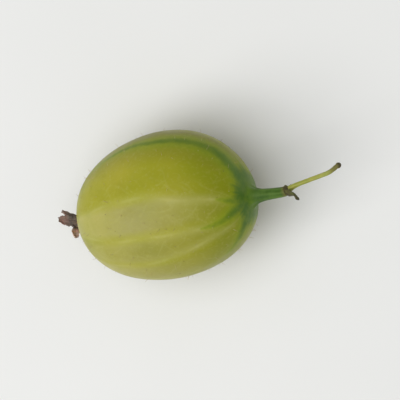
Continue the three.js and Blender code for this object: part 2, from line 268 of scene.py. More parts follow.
def grid_faces(rows, columns, closed):
    """Quads of a grid of points with this many rows and columns, closed round the columns or not."""
    row, column = np.meshgrid(np.arange(rows - 1), np.arange(columns - (not closed)), indexing="ij")
    after = (column + 1) % columns
    corners = [row * columns + column, row * columns + after]
    corners += [(row + 1) * columns + after, (row + 1) * columns + column]
    return np.stack(corners, -1).reshape(-1, 4).tolist()


class Shell:
    """The mesh of one piece in millimetres, gathered part by part, with values for its material."""

    def __init__(self):
        self.points = []
        self.faces = []
        self.values = {}

    def add(self, points, faces, **values):
        start = len(self.points)
        points = np.reshape(points, (-1, 3))
        self.points += points.tolist()
        self.faces += [[start + corner for corner in face] for face in faces]
        for name, value in values.items():
            column = self.values.setdefault(name, [])
            column += [0.0] * (start - len(column))
            column += np.broadcast_to(np.ravel(value), len(points)).tolist()

    def add_tube(self, rings, **values):
        """A closed tube round rings of points, one row each, with a fan of faces on each end."""
        rows, columns = rings.shape[:2]
        last = rows * columns
        points = np.concatenate([rings.reshape(-1, 3), [rings[0].mean(0), rings[-1].mean(0)]])
        faces = grid_faces(rows, columns, closed=True)
        for column in range(columns):
            after = (column + 1) % columns
            faces.append([last, after, column])
            faces.append([last + 1, last - columns + column, last - columns + after])
        spread = {}
        for name, value in values.items():
            value = np.broadcast_to(value, (rows, columns))
            spread[name] = np.concatenate([value.ravel(), [value[0].mean(), value[-1].mean()]])
        self.add(points, faces, **spread)

    def add_sheet(self, middle, thickness, **values):
        """A thin closed sheet round a grid of points, with a thickness at each of them."""
        rows, columns = middle.shape[:2]
        normal = unit(np.cross(np.gradient(middle, axis=1), np.gradient(middle, axis=0)))
        offset = normal * np.asarray(thickness)[..., None] / 2
        points = np.concatenate([(middle - offset).reshape(-1, 3), (middle + offset).reshape(-1, 3)])
        under = grid_faces(rows, columns, closed=False)
        count = rows * columns
        faces = under + [[count + corner for corner in reversed(face)] for face in under]
        grid = np.arange(count).reshape(rows, columns)
        around = [*grid[:-1, 0], *grid[-1, :-1], *grid[:0:-1, -1], *grid[0, :0:-1]]
        for here, after in zip(around, around[1:] + around[:1]):
            faces.append([here, after, count + after, count + here])
        spread = {name: np.tile(np.ravel(value), 2) for name, value in values.items()}
        self.add(points, faces, **spread)

    def build(self, name, material, slot):
        """Makes the piece, with its finish and the body it rides on."""
        mesh = bpy.data.meshes.new(name)
        mesh.from_pydata((np.array(self.points) * MM).tolist(), [], self.faces)
        for key, column in self.values.items():
            column += [0.0] * (len(self.points) - len(column))
            mesh.attributes.new(key, "FLOAT", "POINT").data.foreach_set("value", column)
        mesh.shade_smooth()
        mesh.materials.append(material)
        piece = add_object(name, mesh)
        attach(piece, "root")
        return piece


# ---- Materials ----


def linear_colour(red, green, blue):
    """A colour given in screen values from 0 to 255, as Blender's own linear colour."""
    return tuple(
        value / 255 / 12.92 if value < 10.3 else ((value / 255 + 0.055) / 1.055) ** 2.4
        for value in (red, green, blue)
    ) + (1.0,)


class Nodes:
    """A new material, with short names for the nodes it uses. Their lengths are millimetres."""

    def __init__(self, name):
        self.material = bpy.data.materials.new(name)
        self.material.use_nodes = True
        self.tree = self.material.node_tree
        self.shader = self.tree.nodes["Principled BSDF"]
        place = self.add("TexCoord")
        scaled = self.add("VectorMath")
        scaled.operation = "SCALE"
        scaled.inputs["Scale"].default_value = 1 / MM
        self.tree.links.new(place.outputs["Object"], scaled.inputs[0])
        self.place = scaled.outputs[0]

    def feed(self, socket, value):
        if isinstance(value, bpy.types.NodeSocket):
            self.tree.links.new(value, socket)
        else:
            socket.default_value = value

    def fill(self, node, **values):
        """Sets or links the node's own sockets, named with _ for each space."""
        for name, value in values.items():
            self.feed(node.inputs[name.replace("_", " ")], value)
        return node

    def add(self, kind, **values):
        return self.fill(self.tree.nodes.new("ShaderNode" + kind), **values)

    def made(self, **values):
        """The finished material, with these values on its shader."""
        self.fill(self.shader, **values)
        return self.material

    def noise(self, size, detail=2.0, roughness=0.5):
        """Noise between 0 and 1 with lumps of this size."""
        node = self.add("TexNoise", Scale=1 / size, Detail=detail, Roughness=roughness, Vector=self.place)
        return node.outputs["Fac"]

    def cells(self, size):
        """Distance from the nearest of scattered points about this far apart, and that cell's colour."""
        node = self.add("TexVoronoi", Scale=1 / size, Vector=self.place)
        return node.outputs["Distance"], node.outputs["Color"]

    def attribute(self, name):
        node = self.add("Attribute")
        node.attribute_name = name
        return node.outputs["Fac"]

    def maths(self, operation, a, b=0.0):
        node = self.add("Math")
        node.operation = operation
        self.feed(node.inputs[0], a)
        self.feed(node.inputs[1], b)
        return node.outputs[0]

    def between(self, value, low, high, to_low=0.0, to_high=1.0):
        """Value eased from low..high to to_low..to_high, and held at the ends."""
        node = self.add("MapRange", Value=value)
        node.interpolation_type = "SMOOTHSTEP"
        for socket, number in zip(node.inputs[1:5], (low, high, to_low, to_high)):
            socket.default_value = number
        return node.outputs["Result"]

    def times(self, a, b):
        return self.maths("MULTIPLY", a, b)

    def plus(self, a, b):
        return self.maths("ADD", a, b)

    def weigh(self, a, b, share):
        """A number that is a where the share is 0 and b where it is 1."""
        return self.plus(self.times(a, 1 - share), self.times(b, share))

    def mix(self, share, a, b):
        """A colour that is a where the share is 0 and b where it is 1, with plain ones in screen values."""
        node = self.add("Mix")
        node.data_type = "RGBA"
        self.feed(node.inputs[0], share)
        for socket, colour in zip(node.inputs[6:8], (a, b)):
            self.feed(socket, linear_colour(*colour) if isinstance(colour, tuple) else colour)
        return node.outputs[2]

    def blend(self, value, low, high, a, b, most=1.0):
        """A colour that turns from a to b, or most of the way, as the value goes from low to high."""
        return self.mix(self.between(value, low, high, 0.0, most), a, b)

    def bump(self, height, depth):
        """Relief of this depth for heights from 0 to 1."""
        return self.add("Bump", Strength=1.0, Distance=depth * MM, Height=height).outputs["Normal"]


JUICY_FLESH = dict(  # light sinks into the skin and the green stalk, with the scale in metres
    Subsurface_Weight=0.45,
    Subsurface_Scale=0.0016,
    Subsurface_Radius=(1.0, 0.85, 0.3),
    IOR=1.42,
    Specular_IOR_Level=0.18,
)


def foot_green(n):
    """The bluish green of the stalk's foot, which runs on into the skin round it."""
    cloudy = n.noise(2.6, 3.0, 0.6)
    return n.blend(cloudy, 0.35, 0.65, (98, 126, 40), (78, 111, 36))


def skin_material():
    n = Nodes("gooseberry_skin")
    towards_stalk = n.attribute("towards_stalk")
    broad = n.noise(9.0, 1.0)
    cloudy = n.noise(2.6, 3.0, 0.6)
    fine = n.noise(0.55, 2.0, 0.6)

    # The flesh that shows through, milky in the middle of each panel and darker in some of them, partly
    # duller skin and partly painted shade.
    ripe = n.blend(broad, 0.35, 0.65, (154, 154, 26), (167, 161, 42))
    ripe = n.blend(towards_stalk, 0.1, 1.0, ripe, (130, 140, 14), 0.8)
    milky = n.blend(cloudy, 0.3, 0.7, (158, 151, 100), (173, 166, 118))
    milky = n.mix(n.between(towards_stalk, -0.7, 0.1, 1.0, 0.0), milky, (190, 183, 114))
    skin = n.mix(n.times(n.attribute("haze"), 0.8), ripe, milky)
    # Painted shade in part: the darker panels turn towards this dark olive.
    skin = n.mix(n.times(n.attribute("dull_and_shade"), 0.8), skin, (98, 100, 24))
    skin = n.blend(cloudy, 0.42, 0.75, skin, (138, 138, 26), 0.3)
    skin = n.blend(fine, 0.48, 0.75, skin, (178, 173, 96), 0.22)
    skin = n.mix(n.times(n.attribute("vein"), 0.6), skin, (190, 186, 116))

    # The green spikes, with frayed edges and a lime green rim, and the brown round the flower.
    green = n.attribute("green")
    skin = n.blend(green, 0.02, 0.35, skin, (142, 156, 16), 0.7)
    frayed = n.times(n.maths("SUBTRACT", n.noise(0.8, 3.0, 0.65), 0.5), 0.5)
    frayed = n.times(frayed, n.between(green, 0.02, 0.3))
    green = n.between(n.plus(green, frayed), 0.05, 0.95)
    vein_green = n.blend(cloudy, 0.35, 0.65, (98, 122, 0), (78, 110, 0))
    vein_green = n.blend(towards_stalk, 0.7, 0.95, vein_green, foot_green(n))
    skin = n.mix(green, skin, vein_green)
    skin = n.mix(n.times(n.attribute("crown"), 0.85), skin, (112, 92, 52))

    # Small brown specks in a few cells.
    distance, cell = n.cells(1.9)
    chosen = n.between(n.maths("FRACT", n.times(cell, 7.31)), 0.80, 0.82)
    speck = n.times(n.between(distance, 0.045, 0.09, 1.0, 0.0), chosen)
    skin = n.mix(n.times(speck, 0.8), skin, (96, 80, 34))

    return n.made(
        Base_Color=skin,
        Roughness=n.between(cloudy, 0.3, 0.7, 0.3, 0.42),
        Normal=n.bump(n.weigh(cloudy, fine, 0.4), 0.035),
        **JUICY_FLESH,
    )


def bristle_material():
    n = Nodes("bristles")
    tip = n.attribute("tip")
    hair = n.mix(tip, (176, 172, 104), (150, 112, 70))
    hair = n.blend(n.noise(0.4), 0.4, 0.7, hair, (204, 198, 150), 0.5)
    return n.made(Base_Color=hair, Roughness=0.45, Subsurface_Weight=0.2, Subsurface_Scale=0.0003)


def pedicel_material():
    n = Nodes("green_stalk")
    along = n.attribute("along")
    rib = n.attribute("rib")
    patches = n.noise(1.4, 3.0, 0.6)
    fine = n.noise(0.22)
    green = n.blend(patches, 0.35, 0.68, (60, 92, 30), (80, 110, 44))
    # Painted highlight: lighter along the ribs.
    green = n.mix(n.times(rib, 0.25), green, (112, 138, 66))
    green = n.mix(n.between(along, 0.0, 0.25, 1.0, 0.0), green, foot_green(n))
    green = n.blend(along, 0.88, 1.0, green, (114, 106, 62), 0.7)
    green = n.blend(fine, 0.62, 0.78, green, (70, 84, 40), 0.4)
    return n.made(
        Base_Color=green,
        Roughness=n.between(along, 0.0, 0.3, 0.37, 0.52),
        Normal=n.bump(n.weigh(patches, fine, 0.5), 0.035),
        **JUICY_FLESH,
    )


def peduncle_material():
    n = Nodes("pale_stalk")
    along = n.attribute("along")
    rib = n.attribute("rib")
    patches = n.noise(1.1, 3.0, 0.6)
    fine = n.noise(0.2)
    pale = n.blend(patches, 0.35, 0.68, (134, 142, 46), (154, 156, 64))
    # Painted highlight: lighter along the ribs.
    pale = n.mix(n.times(rib, 0.4), pale, (174, 174, 90))
    worn = n.plus(along, n.times(patches, 0.12))
    pale = n.blend(worn, 0.74, 0.96, pale, (104, 98, 36), 0.95)
    pale = n.blend(worn, 0.95, 1.04, pale, (66, 56, 18), 0.95)
    pale = n.blend(fine, 0.62, 0.8, pale, (112, 102, 44), 0.45)
    return n.made(
        Base_Color=pale,
        Roughness=n.between(patches, 0.3, 0.7, 0.5, 0.7),
        Normal=n.bump(n.weigh(patches, fine, 0.5), 0.05),
        Subsurface_Weight=0.15,
        Subsurface_Scale=0.0004,
    )


def bract_material():
    n = Nodes("dry_bract")
    along = n.attribute("along")
    patches = n.noise(0.9, 3.0, 0.6)
    fibres = n.noise(0.16)
    dry = n.blend(patches, 0.35, 0.65, (62, 55, 22), (82, 80, 34))
    dry = n.blend(along, 0.15, 0.75, dry, (84, 90, 36), 0.6)
    dry = n.blend(along, 0.8, 1.0, dry, (62, 54, 26), 0.8)
    dry = n.blend(fibres, 0.55, 0.75, dry, (118, 110, 58), 0.35)
    return n.made(
        Base_Color=dry,
        Roughness=n.between(patches, 0.3, 0.7, 0.65, 0.85),
        Normal=n.bump(n.plus(fibres, patches), 0.06),
    )


def flower_material():
    n = Nodes("dry_flower")
    along = n.attribute("along")
    kind = n.attribute("kind")
    pale = n.attribute("pale")
    patches = n.noise(0.9, 3.0, 0.65)
    fibres = n.noise(0.15, 2.0, 0.6)
    dry = n.blend(patches, 0.32, 0.68, (68, 60, 53), (94, 81, 70))
    blush = n.blend(patches, 0.35, 0.6, (140, 104, 92), (140, 121, 109))
    dry = n.blend(along, 0.35, 0.8, dry, blush, 0.85)
    dry = n.blend(patches, 0.58, 0.76, dry, (66, 56, 46), 0.75)
    # Painted light on one sepal: its rosy colour is lightened well past its own to offset the shade it lies
    # in.
    rosy_and_lit = n.blend(patches, 0.35, 0.65, (218, 173, 154), (200, 176, 162))
    dry = n.mix(pale, dry, rosy_and_lit)
    dry = n.blend(along, 0.92, 1.0, dry, (82, 62, 52), 0.5)
    dry = n.blend(fibres, 0.55, 0.75, dry, (172, 146, 126), 0.5)
    dry = n.blend(kind, 0.5, 1.0, dry, (70, 50, 36), 0.7)
    return n.made(
        Base_Color=dry,
        Roughness=n.between(patches, 0.3, 0.7, 0.7, 0.9),
        Normal=n.bump(n.plus(fibres, patches), 0.07),
        Subsurface_Weight=0.1,
        Subsurface_Scale=0.0003,
    )


def floor_material():
    n = Nodes("pale_floor")
    plain = n.mix(n.noise(40.0), (225, 225, 223), (230, 230, 229))
    return n.made(Base_Color=plain, Roughness=0.7)


# ---- The berry ----

HALF_LENGTH = BERRY_LENGTH / 2
HALF_WIDTH = BERRY_DIAMETER / 2
TILT_SIN = math.sin(BERRY_TILT)
TILT_COS = math.cos(BERRY_TILT)

middle_height = math.hypot(HALF_LENGTH * TILT_SIN, HALF_WIDTH * TILT_COS)
touching_point = (HALF_WIDTH**2 - HALF_LENGTH**2) * TILT_SIN * TILT_COS / middle_height
BERRY_MIDDLE = np.array([-touching_point, 0.0, middle_height - FLAT_DEPTH])
BERRY_AXIS = np.array([TILT_COS, 0.0, TILT_SIN])


def outline_radius(share):
    """The outline's radius at shares of the half length, from -1 at the flower to 1 at the stalk."""
    share = np.asarray(share, float)
    rounded = np.sqrt(np.clip(1 - share * share, 0, None))
    across = rounded ** np.where(share > 0, STALK_FULLNESS, FLOWER_FULLNESS)
    return HALF_WIDTH * across * (1 + STALK_SHOULDER * share * rounded)


def share_with_radius(radius, side):
    """The share near the pole on the given side where the outline has this radius."""
    shares = np.linspace(1, 0, 20001)
    return side * float(np.interp(radius, outline_radius(side * shares), shares))


def berry_point(share, top_angle):
    """The skin at a share along the axis and an angle from the top towards +Y."""
    around = math.pi / 2 - top_angle
    rounded = np.sqrt(np.clip(1 - share * share, 0, None))
    lobes = OVAL * np.cos(2 * around + 0.5) + LOPSIDED * np.cos(3 * around - 1.1)
    radius = outline_radius(share) * (1 + lobes * rounded)
    along = share * HALF_LENGTH
    aside = radius * np.cos(around) + (BOW + SKEW * share) * (1 - share * share)
    up = radius * np.sin(around)
    x = along * TILT_COS - up * TILT_SIN + BERRY_MIDDLE[0]
    z = along * TILT_SIN + up * TILT_COS + BERRY_MIDDLE[2]
    return np.stack([x, aside, z], -1)


class SkinMap:
    """The berry's skin as a grid: rows from the stalk's pole to the flower's, columns round it."""

    def __init__(self):
        self.share = np.cos(np.linspace(0, math.pi, BERRY_ROWS))
        self.angle = round_angles(BERRY_COLUMNS)
        self.radius = outline_radius(self.share)
        steps = np.hypot(np.diff(self.share * HALF_LENGTH), np.diff(self.radius))
        self.travel = np.concatenate([[0], np.cumsum(steps)])  # distance from the stalk's pole
        self.length = self.travel[-1]
        self.points = berry_point(self.share[:, None], self.angle)

    def radius_at(self, travel):
        return float(np.interp(travel, self.travel, self.radius))

    def blank(self):
        return np.zeros((BERRY_ROWS, BERRY_COLUMNS))

    def draw(self, field, path, widths, strengths):
        """Draws a soft line along a path of (travel, angle), keeping the strongest value at a point."""
        for i in range(len(path) - 1):
            self.draw_step(field, path[i], path[i + 1], widths[i : i + 2], strengths[i : i + 2])

    def draw_step(self, field, start, end, widths, strengths):
        """One straight step of the line, whose width and strength change evenly along it."""
        reach = 2.4 * max(widths)
        low = np.searchsorted(self.travel, min(start[0], end[0]) - reach)
        high = np.searchsorted(self.travel, max(start[0], end[0]) + reach)
        if low == high:
            return
        radii = self.radius[low:high, None]
        aside = wrapped(end[1] - start[1]) * self.radius_at((start[0] + end[0]) / 2)
        spread = (reach + abs(aside)) / max(0.2, radii.min())
        pitch = math.tau / BERRY_COLUMNS
        half = min(BERRY_COLUMNS // 2, int(spread / pitch) + 2)
        middle = int(round(start[1] / pitch))
        columns = np.arange(middle - half, middle + half) % BERRY_COLUMNS
        across = radii * wrapped(self.angle[columns] - start[1])
        along = self.travel[low:high, None] - start[0]
        step = np.array([aside, end[0] - start[0]])
        share = np.clip((across * step[0] + along * step[1]) / max(1e-9, step @ step), 0, 1)
        distance = np.hypot(across - share * step[0], along - share * step[1])
        width = widths[0] + (widths[1] - widths[0]) * share
        strength = strengths[0] + (strengths[1] - strengths[0]) * share
        value = strength * np.exp(-((distance / width) ** 2))
        block = np.ix_(np.arange(low, high), columns)
        field[block] = np.maximum(field[block], value)


def vein_angle(skin, number, travel):
    """A main vein's angle, which also wanders a little on its way from pole to pole."""
    angle = eased(travel / skin.length, VEIN_KNOTS, MAIN_VEINS[number][0])
    phase = 1.7 * number
    wander = 0.8 * np.sin(travel * 0.27 + phase) + 0.5 * np.sin(travel * 0.71 + 2.1 * phase)
    return np.radians(angle + wander)


def draw_main_veins(skin, veins, greens):
    travel = np.linspace(0.5, skin.length - 0.8, 130)
    for number, (_, spike, breadth, darkness, paleness) in enumerate(MAIN_VEINS):
        path = list(zip(travel, vein_angle(skin, number, travel)))
        patchy = 0.78 + 0.22 * np.sin(0.9 * travel + 2.3 * number)
        draw_pale_vein(skin, veins, travel, path, paleness, patchy)
        inside = np.searchsorted(travel, spike)
        draw_spike(skin, greens, travel[:inside], path[:inside], spike, breadth, darkness)


def draw_pale_vein(skin, veins, travel, path, paleness, patchy):
    """A fine pale line in a fainter glow. Both fade towards the two poles."""
    ends = smoothstep(travel, 2.5, 9) * (1 - 0.6 * smoothstep(travel, skin.length - 9, skin.length))
    middle = np.sin(math.pi * travel / skin.length)
    skin.draw(veins, path, PALE_LINE_WIDTH * (1 + middle), 0.8 * paleness * ends * patchy)
    skin.draw(veins, path, GLOW_WIDTH + GLOW_GAIN * middle, 0.45 * paleness * ends)


def draw_spike(skin, greens, travel, path, length, breadth, darkness):
    """The green spike that follows a vein from the stalk, in a soft halo and with side spikes."""
    share = travel / length
    width = breadth * (0.17 + 0.7 * np.exp(-travel / 3.4) + 0.55 * (1 - share))
    skin.draw(greens, path, width, darkness * (1 - 0.55 * share - 0.2 * share**4))
    halo = 0.4 + 1.1 * breadth * (1 - 0.5 * share)
    skin.draw(greens, path, halo, 0.5 * darkness * (1 - share**2))
    for place in range(12, len(path), 7):
        sprout_green(skin, greens, path[place], place, 1 - share[place], darkness)


def sprout_green(skin, greens, start, place, vigour, darkness):
    """A short green side spike that leaves a vein's green part at a slant."""
    side = 1 if place % 2 else -1
    length = 0.8 + 1.9 * vigour
    steps = np.linspace(0, 1, 7)
    travel = start[0] + length * steps * 0.8
    radius = skin.radius_at(start[0] + 0.4 * length)
    angle = start[1] + side * length * (0.55 * steps + 0.1 * steps**2) / radius
    skin.draw(greens, list(zip(travel, angle)), 0.32 - 0.22 * steps, darkness * vigour * (1 - 0.75 * steps))


def grow_branch(skin, field, rng, start, side, length, width, strength, depth):
    """A side vein that leaves its parent at a slant towards the flower and wanders off."""
    slant = side * math.radians(rng.uniform(28, 58))
    travel, angle = start
    path = [start]
    for _ in range(int(length / SIDE_VEIN_PACE)):
        slant += rng.gauss(0, 0.16) - 0.05 * slant
        travel += SIDE_VEIN_PACE * math.cos(slant)
        if travel > skin.length - 2:
            break
        angle += SIDE_VEIN_PACE * math.sin(slant) / skin.radius_at(travel)
        path.append((travel, angle))
    fade = np.linspace(1, 0.35, len(path))
    skin.draw(field, path, width * fade, strength * fade)
    if depth == 0:
        return
    for place in range(3, len(path) - 1, 4):
        if rng.random() < 0.75:
            turned = rng.choice([-1, 1])
            shorter = length * rng.uniform(0.3, 0.6)
            grow_branch(
                skin, field, rng, path[place], turned, shorter, width * 0.75, strength * 0.75, depth - 1
            )


def draw_side_veins(skin, veins):
    rng = random.Random(SEED)
    for number, (*_, paleness) in enumerate(MAIN_VEINS):
        for side in (-1, 1):
            travel = rng.uniform(4, 6)
            while travel < skin.length - 5:
                angle = vein_angle(skin, number, travel)
                length = rng.uniform(3.5, 7.5)
                strength = SIDE_VEIN_STRENGTH * max(0.6, paleness)
                grow_branch(
                    skin, veins, rng, (travel, angle), side, length, SIDE_VEIN_WIDTH, strength, depth=1
                )
                travel += rng.uniform(2.2, 4.2)


def panel_haze(skin):
    """Milkiness that fills each panel between two main veins and is strongest mid-length."""
    bases = np.radians([knots[2] for knots, *_ in MAIN_VEINS])
    haze = skin.blank()
    for base, following, amount in zip(bases, np.roll(bases, -1), PANEL_HAZE):
        width = (following - base) % math.tau
        share = ((skin.angle - base) % math.tau) / width
        inside = smoothstep(share, 0.0, 0.25) * (1 - smoothstep(share, 0.75, 1.0)) * (share <= 1)
        haze += amount * inside
    mid_length = np.exp(-(((skin.travel - 0.62 * skin.length) / 13.0) ** 2))
    return haze * mid_length[:, None]


def panel_dullness_and_shade(skin):
    """Darkening, partly duller skin and partly painted shade, that changes smoothly from the middle of each
    panel to the middle of the next.
    """
    bases = np.array([knots[2] for knots, *_ in MAIN_VEINS])
    middles = bases + (np.roll(bases, -1) - bases) % 360 / 2
    return skin.blank() + np.interp(np.degrees(skin.angle), middles, PANEL_DULLNESS_AND_SHADE, period=360)


def without_poles(field):
    """A field of the skin without its first and last row, in the column order that tubes take."""
    return field[1:-1, ::-1]


def raised_skin(skin, veins, greens):
    """The skin's points with its swells, veins and spikes, pressed flat where the berry rests."""
    inside = BERRY_MIDDLE + BERRY_AXIS * (skin.share * HALF_LENGTH * LEAN_OF_NORMALS)[:, None]
    normal = unit(skin.points - inside[:, None])
    clear_of_stalk = smoothstep(skin.travel, FOOT_REACH, FOOT_REACH + 2.5)[:, None]
    clear_of_flower = smoothstep(skin.length - skin.travel, 1.5, 4)[:, None]
    ridge = np.exp(-(((skin.travel - SPIKE_RIDGE_AT) / SPIKE_RIDGE_REACH) ** 2))[:, None]
    relief = SWELL_HEIGHT * noise_at(skin.points, SWELL_SPACING) * clear_of_flower
    relief += VEIN_HEIGHT * veins + SPIKE_HEIGHT * greens * ridge
    relief *= clear_of_stalk
    points = skin.points + normal * relief[..., None]
    height = points[..., 2]
    flattened = FLAT_EDGE * np.logaddexp(0, height / FLAT_EDGE)
    points[..., 2] = np.where(height < 2 * FLAT_EDGE, flattened, height)
    return points


def make_berry():
    skin = SkinMap()
    veins = skin.blank()
    greens = skin.blank()
    draw_main_veins(skin, veins, greens)
    draw_side_veins(skin, veins)
    ragged = 0.5 * np.sin(5 * skin.angle + 0.7) + 0.3 * np.sin(11 * skin.angle + 2.0)
    streaky = ragged + 0.25 * np.sin(31 * skin.angle) + 0.15 * np.sin(53 * skin.angle + 1.0)
    from_stalk = skin.travel[:, None] - 0.8 * streaky
    greens = np.maximum(greens, 1 - smoothstep(from_stalk, *STAR_EDGE))
    from_flower = skin.length - skin.travel[:, None] - 0.3 * ragged
    fields = {
        "vein": veins,
        "green": greens,
        "haze": panel_haze(skin),
        "dull_and_shade": panel_dullness_and_shade(skin),
        "crown": 1 - smoothstep(from_flower, *CROWN_EDGE),
    }
    values = {name: without_poles(field) for name, field in fields.items()}
    shell = Shell()
    points = without_poles(raised_skin(skin, veins, greens))
    shell.add_tube(points, towards_stalk=skin.share[1:-1, None], **values)
    piece = shell.build("gooseberry_berry", skin_material(), "berry_skin")
    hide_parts("berry")


def make_bristles():
    """Thin curved hairs all over the skin, each a tapered cone whose root is sunk in it."""
    rng = random.Random(SEED + 1)
    shell = Shell()
    share_out = np.linspace(0, 1, 6)[:, None]
    radius = BRISTLE_RADIUS * (1 - 0.85 * share_out) + BRISTLE_TIP_RADIUS
    made = 0
    while made < BRISTLES:
        share = rng.uniform(*BRISTLE_SHARES)
        top_angle = rng.uniform(0, math.tau)
        length = rng.uniform(*BRISTLE_LENGTHS)
        root = berry_point(np.array(share), np.array(top_angle))
        outward = unit(root - BERRY_MIDDLE - BERRY_AXIS * share * HALF_LENGTH * LEAN_OF_NORMALS)
        lean = unit(np.cross(outward, [rng.uniform(-1, 1) for _ in range(3)]))
        if root[2] + length * outward[2] < BRISTLE_CLEARANCE:
            continue
        made += 1
        spine = root + outward * (length * share_out - BRISTLE_SINK) + lean * length * (0.5 * share_out**2)
        across = directions(round_angles(6), unit(np.cross(outward, lean)), lean)
        rings = spine[:, None] + radius[:, None] * across
        shell.add_tube(rings, tip=share_out)
    shell.build("bristles", bristle_material(), "berry_skin")


# ---- The stalk ----

SEAT_MIDDLE = BERRY_MIDDLE + BERRY_AXIS * share_with_radius(SEAT_RADIUS, 1) * HALF_LENGTH
STALK_LENGTH = PEDICEL_LENGTH + JOINT_THICKNESS + PEDUNCLE_LENGTH + 3 * SEAM
JOINT_START = SEAM + PEDICEL_LENGTH + SEAM
PEDUNCLE_START = JOINT_START + JOINT_THICKNESS + SEAM


def stalk_heading(share):
    """The direction of the stalk at a share of its length."""
    knots, *bends = zip(*STALK_BENDS)
    turn, rise = (math.radians(eased(share, knots, angles)) for angles in bends)
    flat = math.cos(rise)
    return np.array([flat * math.cos(turn), flat * math.sin(turn), math.sin(rise)])


def stalk_path():
    steps = 400
    headings = [stalk_heading((i + 0.5) / steps) for i in range(steps)]
    return np.concatenate([[SEAT_MIDDLE], SEAT_MIDDLE + np.cumsum(headings, 0) * STALK_LENGTH / steps])


STALK_PATH = stalk_path()


def stalk_frame(distance):
    """Middle, forward, side and up of the stalk at a distance from the berry. It runs on straight."""
    shares = np.linspace(0, STALK_LENGTH, len(STALK_PATH))
    middle = np.array([np.interp(distance, shares, STALK_PATH[:, k]) for k in range(3)])
    forward = stalk_heading(min(1.0, max(0.0, distance / STALK_LENGTH)))
    middle += forward * (min(0.0, distance) + max(0.0, distance - STALK_LENGTH))
    side = unit(np.cross([0, 0, 1], forward))
    return middle, forward, side, np.cross(forward, side)


def stalk_rings(distances, radius_at, sides):
    """Rings round the stalk, with radius_at(distance, angles) for each. Angle 0 is -Y and 90 up."""
    angles = round_angles(sides)
    rings = []
    for distance in distances:
        middle, _, side, up = stalk_frame(distance)
        radii = np.reshape(radius_at(distance, angles), (-1, 1))
        rings.append(middle + radii * directions(angles, -side, up))
    return np.array(rings)[:, ::-1]


def rib_wave(ribs, twist, angles, distance):
    """1 on a stalk's ribs and -1 between them, for ribs that twist along it."""
    return np.cos(ribs * angles + twist * distance)


def stalk_shell(rings, distances, start, length, ribs, twist):
    """A stalk's tube. Its material is told the share of the length and the nearness to a rib."""
    angles = round_angles(rings.shape[1])[::-1]
    along = np.clip((distances - start) / length, 0, 1)[:, None]
    rib = 0.5 + 0.5 * rib_wave(ribs, twist, angles, distances[:, None])
    shell = Shell()
    shell.add_tube(rings, along=along, rib=rib)
    return shell


def foot_outline():
    """Distances and radii of the pedicel's foot, which sweeps smoothly out on to the berry's skin."""
    radius = np.linspace(FOOT_REACH, FOOT_TOP_RADIUS, 50)
    share = (radius - PEDICEL_RADIUS) / (PEDICEL_FOOT_RADIUS - PEDICEL_RADIUS)
    flare = SEAM - PEDICEL_FLARE * np.log(share)
    seat = share_with_radius(SEAT_RADIUS, 1)
    skin = np.array([share_with_radius(r, 1) - seat for r in radius]) * HALF_LENGTH
    distance = FOOT_BLEND * np.logaddexp(flare / FOOT_BLEND, skin / FOOT_BLEND)
    return distance - FOOT_SINK * smoothstep(radius, FOOT_REACH - FOOT_SINK_WIDTH, FOOT_REACH), radius


def make_pedicel():
    foot_distance, foot_radius = foot_outline()
    shaft = np.linspace(foot_distance[-1], SEAM + PEDICEL_LENGTH, 70)[1:]
    distances = np.concatenate([foot_distance, shaft])

    def radius_at(distance, angles):
        share = (distance - SEAM) / PEDICEL_LENGTH
        flare = (PEDICEL_FOOT_RADIUS - PEDICEL_RADIUS) * math.exp((SEAM - distance) / PEDICEL_FLARE)
        narrowing = (PEDICEL_RADIUS - PEDICEL_JOINT_RADIUS) * smoothstep(share, NARROWING_FROM, 1)
        radius = PEDICEL_RADIUS + flare - narrowing
        if distance < foot_distance[-1]:
            radius = float(np.interp(distance, foot_distance, foot_radius))
        off_the_skin = 1 - smoothstep(radius, 1.5, 2.4)
        ribs = PEDICEL_RIB_HEIGHT * rib_wave(*PEDICEL_RIBS, angles, distance)
        uneven = 0.02 * rib_wave(3, -0.5, angles, distance)
        star = 0.14 * math.exp(-max(0.0, distance) / 0.9) * np.cos(5 * angles + 1.0)
        return radius + off_the_skin * (ribs + uneven + star)

    rings = stalk_rings(distances, radius_at, sides=72)
    rough = 0.035 * smoothstep(distances, 0.3, 1.5)
    rings = roughened(rings, size=0.8, seed=3, depth=rough[:, None])
    shell = stalk_shell(rings, distances, SEAM, PEDICEL_LENGTH, *PEDICEL_RIBS)
    piece = shell.build("pedicel_stalk", pedicel_material(), "green_stalk")
    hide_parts("pedicel")


def make_peduncle():
    distances = np.linspace(PEDUNCLE_START - PEDUNCLE_SINK, STALK_LENGTH - 0.01, 150)

    def radius_at(distance, angles):
        share = (distance - PEDUNCLE_START) / PEDUNCLE_LENGTH
        foot = (PEDUNCLE_FOOT_RADIUS - PEDUNCLE_RADIUS) * (1 - smoothstep(share, 0, PEDUNCLE_FOOT_SHARE))
        ribs = 1 + PEDUNCLE_RIB_SHARE * rib_wave(*PEDUNCLE_RIBS, angles, distance)
        from_knob = (STALK_LENGTH - distance) / KNOB_HALF_LENGTH - 1
        knob = KNOB_RADIUS * math.sqrt(max(0.0, 1 - from_knob**2))
        shaft = (PEDUNCLE_RADIUS + foot) * ribs if from_knob > 0 else 0.1
        return np.maximum(shaft, knob * (1 + 0.06 * np.cos(4 * angles)))

    rings = stalk_rings(distances, radius_at, sides=40)
    rough = 0.02 + 0.06 * smoothstep(distances, STALK_LENGTH - 2, STALK_LENGTH - 0.6)
    rings = roughened(rings, size=0.45, seed=5, depth=rough[:, None])
    shell = stalk_shell(rings, distances, PEDUNCLE_START, PEDUNCLE_LENGTH, *PEDUNCLE_RIBS)
    piece = shell.build("peduncle_stalk", peduncle_material(), "pale_stalk")
    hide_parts("peduncle")


# ---- The bracts ----


def blade_grid(steps, columns):
    """Shares of a blade's length from root to tip, and of its half width from edge to edge."""
    return np.meshgrid(np.linspace(0, 1, steps), np.linspace(-1, 1, columns), indexing="ij")


def blade_width(half_width, s, widest_at, taper):
    return half_width * np.cos((s - widest_at) * taper)


